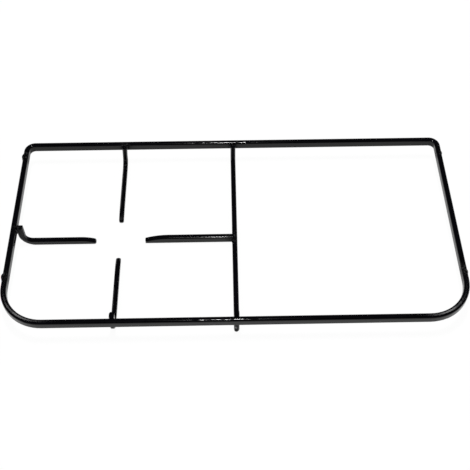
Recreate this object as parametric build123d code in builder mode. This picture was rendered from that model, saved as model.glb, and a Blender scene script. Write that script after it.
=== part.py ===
import os

from build123d import *

# Hob pan support, lying with its hob side up: fingers below, outer rail above
length = 481.2
depth = 243.7
height = 30.8

# Outer rail, a flat bar on edge with well rounded edges
rail_width = 6.1
rail_height = 9.9
rail_edge = 2.2
front_corner = 46.0
rear_corner = 12.0

# Nibs pressed out of the end rails, near the corners
nib_reach = 1.7
nib_radius = 6.5
nib_root = 1.5
nib_height = 8.6
nib_slope = 8.0
rear_nib_inset = 20.8
front_nib_inset = 57.8

# Centre bar, a bridge between the long rails with a square leg at each end
bar_x = 0.5
bar_thickness = 5.7
bar_height = 9.0
bar_edge = 1.8

# Fingers round the burner, set by hand a little off its centre and off upright
burner_x = -125.0
burner_y = 0.4
side_finger_y = -0.5
long_finger_x = -126.2
long_lean = 3.0
side_tip_radius = 27.0
long_tip_radius = 24.5
side_thickness = 6.0
long_thickness = 5.3
finger_height = 7.5
finger_edge = 1.6
finger_bevel = 1.2
inner_bend = 7.0
side_outer_bend = 17.0
long_outer_bend = 12.0
tip_height = 4.2
tip_round = 2.2
left_taper = 17.0
right_taper = 26.0
long_taper = 20.0

# Legs of the bent fingers and of the centre bar
leg_depth = 6.7
leg_setback = 0.3

# Levels and faces that the pieces share
rail_underside = height - rail_height
leg_level = height - leg_setback
inner_length = length - 2 * rail_width
inner_depth = depth - 2 * rail_width
left_face = -inner_length / 2
rear_face = inner_depth / 2
bar_face = bar_x - bar_thickness / 2
lean_axis = Axis((long_finger_x + long_thickness / 2 - finger_bevel, 0, 0), (0, 1, 0))
nib_rise = nib_reach + nib_root
nib_half = (2 * nib_radius * nib_rise - nib_rise**2) ** 0.5

os.makedirs("parts", exist_ok=True)


def bent_outline(reach, taper, outer_bend):
    # Leg down the rail, bend, bearing edge to the tip, and back along the tapered edge
    inner_start = leg_depth + inner_bend
    inner_end = finger_height + inner_bend
    Line((0, leg_level), (0, outer_bend))
    RadiusArc((0, outer_bend), (outer_bend, 0), -outer_bend)
    tip_outline(outer_bend, reach, taper, inner_start, finger_height)
    RadiusArc((inner_start, finger_height), (leg_depth, inner_end), inner_bend)
    Line((leg_depth, inner_end), (leg_depth, leg_level))
    Line((leg_depth, leg_level), (0, leg_level))


def tip_outline(bearing_start, reach, taper, back_end, back_height):
    # Bearing edge, blunt tip, curved taper, back edge
    Line((bearing_start, 0), (reach, 0))
    Line((reach, 0), (reach, tip_height))
    TangentArc((reach - taper, back_height), (reach, tip_height), tangent=(1, 0))
    Line((reach - taper, back_height), (back_end, back_height))


def ease_edges(finger, side_axis, tip_axis):
    # Tip rounded in plan, then every edge of the two side faces bevelled
    fillet(finger.edges().filter_by(Axis.Z).sort_by(tip_axis)[-2:], tip_round)
    sides = finger.faces().sort_by(side_axis)
    near_edges = sides[0].edges().sort_by(tip_axis)[:-1]
    far_edges = sides[-1].edges().sort_by(tip_axis)[:-1]
    chamfer(near_edges + far_edges, finger_bevel)


# Outer frame
with BuildPart() as outer_frame:
    with BuildSketch(Plane.XY.offset(rail_underside)) as outer_outline:
        Rectangle(length, depth)
        fillet(outer_outline.vertices().group_by(Axis.Y)[0], front_corner)
        fillet(outer_outline.vertices().group_by(Axis.Y)[-1], rear_corner)
    extrude(amount=rail_height)
    with BuildSketch(Plane.XY.offset(rail_underside)) as opening_outline:
        Rectangle(inner_length, inner_depth)
        fillet(opening_outline.vertices().group_by(Axis.Y)[0], front_corner - rail_width)
        fillet(opening_outline.vertices().group_by(Axis.Y)[-1], rear_corner - rail_width)
    extrude(amount=rail_height, mode=Mode.SUBTRACT)
    fillet(outer_frame.edges().group_by(Axis.Z)[0], rail_edge)
    fillet(outer_frame.edges().group_by(Axis.Z)[-1], rail_edge)
    for side in (-1, 1):
        for nib_y in (depth / 2 - rear_nib_inset, -depth / 2 + front_nib_inset):
            nib_plane = Plane(
                origin=(side * length / 2, nib_y, height - rail_height / 2),
                x_dir=(side, 0, 0),
                z_dir=(0, 0, side),
            )
            with BuildSketch(nib_plane):
                with BuildLine():
                    nib_arc = RadiusArc((-nib_root, nib_half), (-nib_root, -nib_half), nib_radius)
                    Line(nib_arc @ 1, nib_arc @ 0)
                make_face()
            extrude(amount=nib_height / 2, both=True, taper=nib_slope)

outer_frame.part.label = "outer_frame"
export_step(outer_frame.part, "parts/outer_frame.step")

# Centre bar
bridge_plane = Plane(origin=(bar_x, 0, 0), x_dir=(0, 1, 0), z_dir=(1, 0, 0))
with BuildPart() as centre_bar:
    with BuildSketch(bridge_plane):
        with Locations((0, leg_level / 2)):
            Rectangle(inner_depth, leg_level)
        with Locations((0, (leg_level + bar_height) / 2)):
            Rectangle(inner_depth - 2 * leg_depth, leg_level - bar_height, mode=Mode.SUBTRACT)
    extrude(amount=bar_thickness / 2, both=True)
    fillet(centre_bar.faces().sort_by(Axis.X)[0].edges(), bar_edge)
    fillet(centre_bar.faces().sort_by(Axis.X)[-1].edges(), bar_edge)

centre_bar.part.label = "centre_bar"
export_step(centre_bar.part, "parts/centre_bar.step")

# Left finger, from the left rail
left_plane = Plane(origin=(left_face, side_finger_y, 0), x_dir=(1, 0, 0), z_dir=(0, -1, 0))
with BuildPart() as left_finger:
    with BuildSketch(left_plane):
        with BuildLine():
            bent_outline(burner_x - side_tip_radius - left_face, left_taper, side_outer_bend)
        make_face()
    extrude(amount=side_thickness / 2, both=True)
    ease_edges(left_finger, Axis.Y, Axis.X)

left_finger.part.label = "left_finger"
export_step(left_finger.part, "parts/left_finger.step")

# Right finger, as deep as the centre bar that carries it
right_plane = Plane(origin=(bar_face, side_finger_y, 0), x_dir=(-1, 0, 0), z_dir=(0, 1, 0))
with BuildPart() as right_finger:
    with BuildSketch(right_plane):
        with BuildLine():
            tip_outline(0, bar_face - burner_x - side_tip_radius, right_taper, 0, bar_height)
            Line((0, bar_height), (0, 0))
        make_face()
    extrude(amount=side_thickness / 2, both=True)
    fillet(right_finger.faces().sort_by(Axis.Y)[0].edges().sort_by(Axis.X)[:-1], finger_edge)
    fillet(right_finger.faces().sort_by(Axis.Y)[-1].edges().sort_by(Axis.X)[:-1], finger_edge)

right_finger.part.label = "right_finger"
export_step(right_finger.part, "parts/right_finger.step")

# Rear finger, from the rear rail
rear_plane = Plane(origin=(long_finger_x, rear_face, 0), x_dir=(0, -1, 0), z_dir=(-1, 0, 0))
with BuildPart() as rear_finger:
    with BuildSketch(rear_plane):
        with BuildLine():
            bent_outline(rear_face - burner_y - long_tip_radius, long_taper, long_outer_bend)
        make_face()
    extrude(amount=long_thickness / 2, both=True)
    ease_edges(rear_finger, Axis.X, -Axis.Y)

rear_leaning = rear_finger.part.rotate(lean_axis, long_lean)
rear_leaning.label = "rear_finger"
export_step(rear_leaning, "parts/rear_finger.step")

# Front finger, from the front rail
front_plane = Plane(origin=(long_finger_x, -rear_face, 0), x_dir=(0, 1, 0), z_dir=(1, 0, 0))
with BuildPart() as front_finger:
    with BuildSketch(front_plane):
        with BuildLine():
            bent_outline(rear_face + burner_y - long_tip_radius, long_taper, long_outer_bend)
        make_face()
    extrude(amount=long_thickness / 2, both=True)
    ease_edges(front_finger, Axis.X, Axis.Y)

front_leaning = front_finger.part.rotate(lean_axis, long_lean)
front_leaning.label = "front_finger"
export_step(front_leaning, "parts/front_finger.step")
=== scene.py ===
import math
import random

import bmesh
import bpy
from mathutils import Matrix, Vector


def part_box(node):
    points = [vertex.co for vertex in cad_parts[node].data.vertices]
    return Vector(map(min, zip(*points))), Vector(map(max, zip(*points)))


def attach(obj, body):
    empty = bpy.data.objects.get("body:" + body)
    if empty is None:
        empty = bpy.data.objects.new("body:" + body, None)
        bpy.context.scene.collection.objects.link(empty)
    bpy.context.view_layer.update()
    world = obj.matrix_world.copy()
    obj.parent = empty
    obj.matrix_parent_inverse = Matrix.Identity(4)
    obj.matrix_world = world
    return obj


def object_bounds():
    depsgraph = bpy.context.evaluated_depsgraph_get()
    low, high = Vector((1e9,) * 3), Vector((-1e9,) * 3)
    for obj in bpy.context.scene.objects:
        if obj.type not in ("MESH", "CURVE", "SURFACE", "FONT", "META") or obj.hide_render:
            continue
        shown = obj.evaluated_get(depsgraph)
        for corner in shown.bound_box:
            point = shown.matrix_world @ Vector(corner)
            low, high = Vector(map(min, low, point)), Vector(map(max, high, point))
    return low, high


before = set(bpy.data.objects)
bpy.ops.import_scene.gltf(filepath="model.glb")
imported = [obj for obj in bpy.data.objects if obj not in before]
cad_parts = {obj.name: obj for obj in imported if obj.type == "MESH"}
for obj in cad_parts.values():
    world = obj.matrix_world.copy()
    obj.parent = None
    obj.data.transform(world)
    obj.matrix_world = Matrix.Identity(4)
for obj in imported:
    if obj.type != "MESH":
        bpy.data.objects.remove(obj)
cad_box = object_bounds()

MM = 0.001

# Camera, found from the straight edges of the photograph
photo_width_px = 470
focal_length_px = 838.4
sensor_width_mm = 36.0
camera_distance = 894.4 * MM
camera_elevation = math.radians(53.70)
camera_turn = math.radians(0.96)
camera_roll = math.radians(-0.12)
camera_aim = Vector((0.59 * MM, -16.11 * MM, cad_box[1].z))

# Waves in the fired enamel: heights in mm, and how many to the metre
enamel_seed = 1.4
run_height = 0.4
run_scale = 110.0
ripple_height = 0.05
ripple_scale = 380.0
rail_waviness = 1.0
finger_waviness = 0.12

# Stretch of the length where those waves are strong, and their share beyond it
wavy_centre = -11 * MM
wavy_reach = 26 * MM
calm_reach = 34 * MM
calm_share = 0.1

# Gloss and tones of the enamel, which change in clouds and specks
enamel_index = 1.33
enamel_tones = ((0.3, (0.0010, 0.0010, 0.0014, 1)), (0.7, (0.0020, 0.0019, 0.0030, 1)))
rail_roughness = 0.07
finger_roughness = 0.09
cloud_roughness = 0.06
cloud_scale = 45.0
cloud_detail = 3.0
cloud_grain = 0.6
speck_scale = 600.0

# Dull enamel: its finish, and how much of a patch it covers outside and inside the clouds
dull_tones = ((0.52, (0.0008, 0.0008, 0.0010, 1)), (0.75, (0.035, 0.035, 0.037, 1)))
dull_roughness = 0.4
dull_gloss = 0.1
dull_cover = 0.55
dull_cloud_cover = 0.45

# Dull patches at the welds: middle, distance where full and distance where gone, in mm
dull_welds = {
    "rear_finger": ((-124.9, 115.75, 27.0), 3.0, 8.0),
    "left_finger": ((-229.0, -2.5, 21.0), 8.0, 16.0),
    "centre_bar": ((0.5, 115.75, 26.0), 3.0, 7.0),
    "right_finger": ((-2.35, -1.5, 8.5), 4.0, 10.0),
}

# Dull patches at the nibs, all alike, in mm
nib_side_x = 239.0
nib_rear_y = 101.0
nib_front_y = -64.0
nib_level = 28.0
nib_dull_full = 4.0
nib_dull_none = 10.0
dull_nibs = [
    ((x, y, nib_level), nib_dull_full, nib_dull_none)
    for y in (nib_rear_y, nib_front_y)
    for x in (-nib_side_x, nib_side_x)
]

# Weld beads, one in each corner beside the end of a bar
bead_radius = 1.4 * MM
right_bead_radius = 0.8 * MM
bead_half_length = 3.1 * MM
bead_pitch = 1.5 * MM
bead_ripple = 0.10
bead_unevenness = 0.05
bead_bluntness = 4
bead_steps = 28
lump_sides = 14
merge_gap = 0.001 * MM
long_finger_thickness = 5.3 * MM
long_finger_lean = math.radians(3.0)
rear_weld_level = 26.9 * MM
front_weld_level = 24.2 * MM
left_weld_level = 25.7 * MM
right_weld_level = 3.2 * MM

# Drop of enamel that ran to the front end of the centre bar: radius and level in mm
drop_outline = (
    (0.0, 0.1),
    (1.2, 0.4),
    (2.1, 1.3),
    (2.4, 2.6),
    (2.2, 4.2),
    (1.7, 6.2),
    (1.0, 8.0),
    (0.0, 9.0),
)
drop_left = 0.3 * MM
drop_flatness = 0.75

# Painted highlight on that drop: a pale spot painted into the enamel colour in place of a lamp's
# reflection
painted_glint_place = Vector((-0.2, -116.4, 8.0)) * MM
painted_glint_full = 0.7 * MM
painted_glint_none = 1.5 * MM
painted_glint_cover = 0.4
painted_glint_colour = (0.35, 0.35, 0.36, 1)

# Room: brightness of the floor and the walls to the camera and in the gloss of the enamel
white = (1, 1, 1, 1)
floor_half_width = 12.0
floor_glow = 0.94
floor_albedo = 0.06
floor_gloss_albedo = 0.85
room_level = 0.73
room_gloss = 0.02

# Lamps, and the glints on the rail where the camera sees the side lamps: metres and watts
ceiling_lamp_place = Vector((-0.02, 0.12, 1.5))
ceiling_lamp_size = (0.08, 0.32)
ceiling_lamp_power = 11.0
side_lamp_height = 1.03
side_lamp_size = 0.05
side_lamp_power = 0.07
left_glint = Vector((-0.2180, -0.1119, cad_box[1].z))
right_glint = Vector((0.2121, -0.1151, cad_box[1].z))


class Value:
    """An output of a material node, so that shader maths reads as plain expressions."""

    def __init__(self, sheet, socket):
        self.sheet = sheet
        self.socket = socket

    def maths(self, operation, first, second):
        return self.sheet.node("Math", {"operation": operation}, {0: first, 1: second})

    def __add__(self, other):
        return self.maths("ADD", self, other)

    def __radd__(self, other):
        return self.maths("ADD", other, self)

    def __sub__(self, other):
        return self.maths("SUBTRACT", self, other)

    def __rsub__(self, other):
        return self.maths("SUBTRACT", other, self)

    def __mul__(self, other):
        return self.maths("MULTIPLY", self, other)

    def __rmul__(self, other):
        return self.maths("MULTIPLY", other, self)


class Sheet:
    """The node sheet of one material or of the world."""

    def __init__(self, owner):
        owner.use_nodes = True
        self.tree = owner.node_tree
        self.tree.nodes.clear()

    def node(self, kind, settings=None, sockets=None, output=0):
        """A new node, set up and filled or linked, as the value of one of its outputs."""
        made = self.tree.nodes.new("ShaderNode" + kind)
        for name, setting in (settings or {}).items():
            if name == "stops":
                self.set_stops(made.color_ramp, setting)
            else:
                setattr(made, name, setting)
        for name, given in (sockets or {}).items():
            if isinstance(given, Value):
                self.tree.links.new(given.socket, made.inputs[name])
            else:
                made.inputs[name].default_value = given
        if not made.outputs:
            return made
        return Value(self, made.outputs[output])

    def noise(self, place, scale, seed):
        """Smooth waves about 1 / scale metres apart."""
        return self.node(
            "TexNoise",
            {"noise_dimensions": "4D"},
            {"Vector": place, "W": seed, "Scale": scale, "Detail": 0.0},
        )

    def fade(self, distance, full, none, least=0.0):
        """One up to the first distance, then smoothly down to the least at the second."""
        return self.node(
            "MapRange",
            {"interpolation_type": "SMOOTHSTEP"},
            {"Value": distance, "From Min": full, "From Max": none, "To Min": 1.0, "To Max": least},
        )

    def near(self, place, spot, full, none):
        """One within the first distance of a spot, nothing beyond the second."""
        gap = self.node("VectorMath", {"operation": "DISTANCE"}, {0: place, 1: spot}, output="Value")
        return self.fade(gap, full, none)

    def blend(self, share, first, second):
        """The first colour, with a share of the second over it."""
        # A colour mix takes its colours at sockets 6 and 7 and gives the result at output 2
        return self.node("Mix", {"data_type": "RGBA"}, {0: share, 6: first, 7: second}, output=2)

    def set_stops(self, ramp, stops):
        while len(ramp.elements) < len(stops):
            ramp.elements.new(1.0)
        for element, (position, colour) in zip(ramp.elements, stops):
            element.position = position
            element.color = colour


def black_enamel(name, waviness, smoothest):
    """Vitreous enamel fired on steel bar: near black, glassy, a little wavy where it ran."""
    material = bpy.data.materials.new(name)
    sheet = Sheet(material)
    place = sheet.node("TexCoord", output="Object")
    run = sheet.noise(place, run_scale, enamel_seed)
    ripple = sheet.noise(place, ripple_scale, enamel_seed)
    speck = sheet.noise(place, speck_scale, enamel_seed)
    cloud = sheet.node(
        "TexNoise",
        {},
        {"Vector": place, "Scale": cloud_scale, "Detail": cloud_detail, "Roughness": cloud_grain},
    )
    along = sheet.node("SeparateXYZ", {}, {"Vector": place})
    off_centre = sheet.node("Math", {"operation": "ABSOLUTE"}, {0: along - wavy_centre})
    strength = sheet.fade(off_centre, wavy_reach, calm_reach, calm_share)
    height = strength * (run * (run_height * waviness) + ripple * (ripple_height * waviness))
    normal = sheet.node("Bump", {}, {"Height": height, "Strength": 1.0, "Distance": MM})
    black = sheet.node("ValToRGB", {"stops": enamel_tones}, {"Fac": cloud})
    # Painted highlight: a pale spot painted on the drop, standing in for a lamp's reflection there
    painted_glint = sheet.near(place, painted_glint_place, painted_glint_full, painted_glint_none)
    colour = sheet.blend(painted_glint * (painted_glint_cover + speck), black, painted_glint_colour)
    roughness = smoothest + cloud * cloud_roughness
    glassy = sheet.node(
        "BsdfPrincipled",
        {},
        {"Base Color": colour, "Roughness": roughness, "IOR": enamel_index, "Normal": normal},
    )
    mottle = sheet.node("ValToRGB", {"stops": dull_tones}, {"Fac": speck})
    dull = sheet.node(
        "BsdfPrincipled",
        {},
        {
            "Base Color": mottle,
            "Roughness": dull_roughness,
            "Specular IOR Level": dull_gloss,
            "Normal": normal,
        },
    )
    spoilt = sum(
        sheet.near(place, Vector(middle) * MM, full * MM, none * MM)
        for middle, full, none in [*dull_welds.values(), *dull_nibs]
    )
    patchy = spoilt * (dull_cover + dull_cloud_cover * cloud)
    shader = sheet.node("MixShader", {}, {0: patchy, 1: glassy, 2: dull})
    sheet.node("OutputMaterial", {}, {"Surface": shader})
    return material


def spin_lump(outline):
    """A closed round lump with the given radii and levels about the vertical axis."""
    shape = bmesh.new()
    corners = [shape.verts.new((radius, 0, level)) for radius, level in outline]
    edges = [shape.edges.new(pair) for pair in zip(corners, corners[1:])]
    bmesh.ops.spin(
        shape,
        geom=corners + edges,
        cent=(0, 0, 0),
        axis=(0, 0, 1),
        angle=2 * math.pi,
        steps=lump_sides,
        use_merge=True,
    )
    bmesh.ops.remove_doubles(shape, verts=shape.verts, dist=merge_gap)
    bmesh.ops.recalc_face_normals(shape, faces=shape.faces)
    for face in shape.faces:
        face.smooth = True
    return shape


def finish_lumps(name, shapes, enamel):
    """Joins the shapes into one enamelled piece of the support."""
    mesh = bpy.data.meshes.new(name)
    whole = bmesh.new()
    for shape in shapes:
        shape.to_mesh(mesh)
        shape.free()
        whole.from_mesh(mesh)
    whole.to_mesh(mesh)
    whole.free()
    mesh.materials.append(enamel)
    lump = bpy.data.objects.new(name, mesh)
    bpy.context.scene.collection.objects.link(lump)
    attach(lump, "root")


def bead_outline(radius, draws):
    """Radii and levels of a bead laid in ripples, drawn in at both ends."""
    outline = []
    for step in range(bead_steps + 1):
        share = 2 * step / bead_steps - 1
        level = share * bead_half_length
        ripple = bead_ripple * math.cos(2 * math.pi * level / bead_pitch)
        swell = 1 + ripple + draws.uniform(-bead_unevenness, bead_unevenness)
        outline.append((radius * swell * math.sqrt(1 - share**bead_bluntness), level))
    return outline


def lay_weld(name, corners, enamel, radius=bead_radius, lean=0.0):
    """Upright beads with their middles at the given corners."""
    draws = random.Random(name)
    tilt = Matrix.Rotation(lean, 3, "Y")
    beads = []
    for corner in corners:
        bead = spin_lump(bead_outline(radius, draws))
        bmesh.ops.rotate(bead, cent=(0, 0, 0), matrix=tilt, verts=bead.verts)
        bmesh.ops.translate(bead, vec=corner, verts=bead.verts)
        beads.append(bead)
    finish_lumps(name, beads, enamel)


def weld_long_finger(name, finger, face_y, level, enamel):
    """Beads beside the leg of a long finger, which leans towards the centre bar."""
    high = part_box(finger)[1]
    right_x = high.x - (high.z - level) * math.tan(long_finger_lean)
    left_x = right_x - long_finger_thickness
    corners = (Vector((left_x, face_y, level)), Vector((right_x, face_y, level)))
    lay_weld(name, corners, enamel, lean=long_finger_lean)


def weld_bars(enamel):
    """Beads at both ends of the centre bar and where each finger meets what carries it."""
    bar_low, bar_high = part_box("centre_bar")
    for end, face_y, level in (
        ("rear", bar_high.y, rear_weld_level),
        ("front", bar_low.y, front_weld_level),
    ):
        weld_long_finger("finger_weld_" + end, end + "_finger", face_y, level, enamel)
        bar_corners = [Vector((x, face_y, level)) for x in (bar_low.x, bar_high.x)]
        lay_weld("bar_weld_" + end, bar_corners, enamel)
    low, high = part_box("left_finger")
    left_corners = [Vector((low.x, y, left_weld_level)) for y in (low.y, high.y)]
    lay_weld("finger_weld_left", left_corners, enamel)
    low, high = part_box("right_finger")
    right_corners = [Vector((high.x, y, right_weld_level)) for y in (low.y, high.y)]
    lay_weld("finger_weld_right", right_corners, enamel, radius=right_bead_radius)


def run_drop(enamel):
    """Enamel drop on the front end of the centre bar."""
    low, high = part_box("centre_bar")
    drop = spin_lump([(radius * MM, level * MM) for radius, level in drop_outline])
    bmesh.ops.scale(drop, vec=(1, drop_flatness, 1), verts=drop.verts)
    middle_x = (low.x + high.x) / 2
    bmesh.ops.translate(drop, vec=(middle_x - drop_left, low.y, 0), verts=drop.verts)
    finish_lumps("enamel_drop", [drop], enamel)


def pale_floor():
    """White table, seen as white by the camera and in the gloss of the enamel."""
    material = bpy.data.materials.new("pale_floor")
    sheet = Sheet(material)
    seen = sheet.node("LightPath", output="Is Camera Ray")
    gloss = sheet.node("LightPath", output="Is Glossy Ray")
    through = sheet.node("LightPath", output="Is Transmission Ray")
    albedo = floor_albedo + gloss * (floor_gloss_albedo - floor_albedo)
    lit = sheet.node("BsdfDiffuse", {}, {"Color": albedo})
    glow = sheet.node("Emission", {}, {"Color": white, "Strength": (seen + through) * floor_glow})
    shader = sheet.node("AddShader", {}, {0: lit, 1: glow})
    sheet.node("OutputMaterial", {}, {"Surface": shader})
    return material


def build_floor():
    """The table top at the level of the bearing edges."""
    shape = bmesh.new()
    bmesh.ops.create_grid(shape, x_segments=1, y_segments=1, size=floor_half_width)
    mesh = bpy.data.meshes.new("floor")
    shape.to_mesh(mesh)
    shape.free()
    floor = bpy.data.objects.new("floor", mesh)
    bpy.context.scene.collection.objects.link(floor)
    mesh.materials.append(pale_floor())


def light_room():
    """White to the camera, soft light on the object, dark in the gloss of the enamel."""
    world = bpy.data.worlds.new("room")
    bpy.context.scene.world = world
    sheet = Sheet(world)
    seen = sheet.node("LightPath", output="Is Camera Ray")
    gloss = sheet.node("LightPath", output="Is Glossy Ray")
    soft = (1 - seen) * (1 - gloss)
    strength = seen + soft * room_level + gloss * room_gloss
    room = sheet.node("Background", {}, {"Color": white, "Strength": strength})
    sheet.node("OutputWorld", {}, {"Surface": room})


def hang_lamp(name, place, target, size, power):
    """An oval lamp that faces the target."""
    light = bpy.data.lights.new(name, "AREA")
    light.shape = "ELLIPSE"
    light.size = size[0]
    light.size_y = size[1]
    light.energy = power
    lamp = bpy.data.objects.new(name, light)
    bpy.context.scene.collection.objects.link(lamp)
    lamp.location = place
    lamp.rotation_euler = (target - place).to_track_quat("-Z", "Y").to_euler()


def place_camera():
    """The photograph's viewpoint, turned about the aim and rolled a little."""
    ahead = Vector((
        math.sin(camera_turn) * math.cos(camera_elevation),
        math.cos(camera_turn) * math.cos(camera_elevation),
        -math.sin(camera_elevation),
    ))
    level = Vector((math.cos(camera_turn), -math.sin(camera_turn), 0))
    upward = level.cross(ahead)
    across = math.cos(camera_roll) * level + math.sin(camera_roll) * upward
    above = math.cos(camera_roll) * upward - math.sin(camera_roll) * level
    turn = Matrix((across, above, -ahead)).transposed()
    lens = bpy.data.cameras.new("camera")
    lens.sensor_width = sensor_width_mm
    lens.lens = focal_length_px / photo_width_px * sensor_width_mm
    lens.clip_start = 0.01
    lens.clip_end = 100.0
    camera = bpy.data.objects.new("camera", lens)
    bpy.context.scene.collection.objects.link(camera)
    camera.matrix_world = Matrix.Translation(camera_aim - ahead * camera_distance) @ turn.to_4x4()
    bpy.context.scene.camera = camera
    return camera


def mirrored_place(eye, glint, height):
    """Where a lamp hangs so that the eye sees it mirrored in a level face at the glint."""
    onward = glint - eye
    onward.z = -onward.z
    return glint + onward * ((height - glint.z) / onward.z)


enamel = black_enamel("black_enamel", rail_waviness, rail_roughness)
calm_enamel = black_enamel("black_enamel_calm", finger_waviness, finger_roughness)
for node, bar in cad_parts.items():
    bar.material_slots[0].material = calm_enamel if node == "right_finger" else enamel

weld_bars(enamel)
run_drop(enamel)

build_floor()
light_room()
lamp_foot = ceiling_lamp_place.xy.to_3d()
hang_lamp("ceiling_lamp", ceiling_lamp_place, lamp_foot, ceiling_lamp_size, ceiling_lamp_power)
camera = place_camera()
for name, glint in (("left_lamp", left_glint), ("right_lamp", right_glint)):
    place = mirrored_place(camera.location, glint, side_lamp_height)
    hang_lamp(name, place, glint, (side_lamp_size, side_lamp_size), side_lamp_power)

bpy.context.scene.view_settings.view_transform = "Standard"
